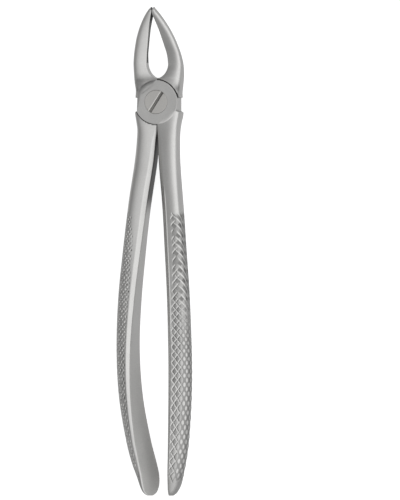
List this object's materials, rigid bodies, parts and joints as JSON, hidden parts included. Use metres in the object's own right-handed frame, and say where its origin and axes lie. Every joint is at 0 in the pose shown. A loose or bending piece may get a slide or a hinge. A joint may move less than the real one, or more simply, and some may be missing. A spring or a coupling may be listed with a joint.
{
  "type": "extraction forceps",
  "caption": "Dental extraction forceps: crossed levers on a slotted pivot screw, forward-leaning fluted beaks closing at the tips, and long knurled handles.",
  "frame": {"origin": "on the pivot axis, in the flat rear face of the lap joint that the closed forceps rests on", "axes": "+Z along the pivot axis towards the screw head, +Y along the length towards the beaks, +X to the right as seen from the screw head"},
  "size_m": [0.0276, 0.175, 0.0158],
  "materials": {
    "lever_steel": "satin forged stainless steel, fine brushed ends, knurled grip faces",
    "screw_steel": "satin ground stainless steel, flush slotted head"
  },
  "bodies": {
    "rear_lever": {"rear_lever": "lever_steel", "pivot_screw": "screw_steel"},
    "front_lever": {"front_lever": "lever_steel"}
  },
  "joints": [
    {"name": "forceps_pivot", "type": "hinge", "parent": "rear_lever", "child": "front_lever", "pos_m": [0, 0, 0.0046], "axis": [0, 0, 1], "range_deg": [0, 34]}
  ]
}
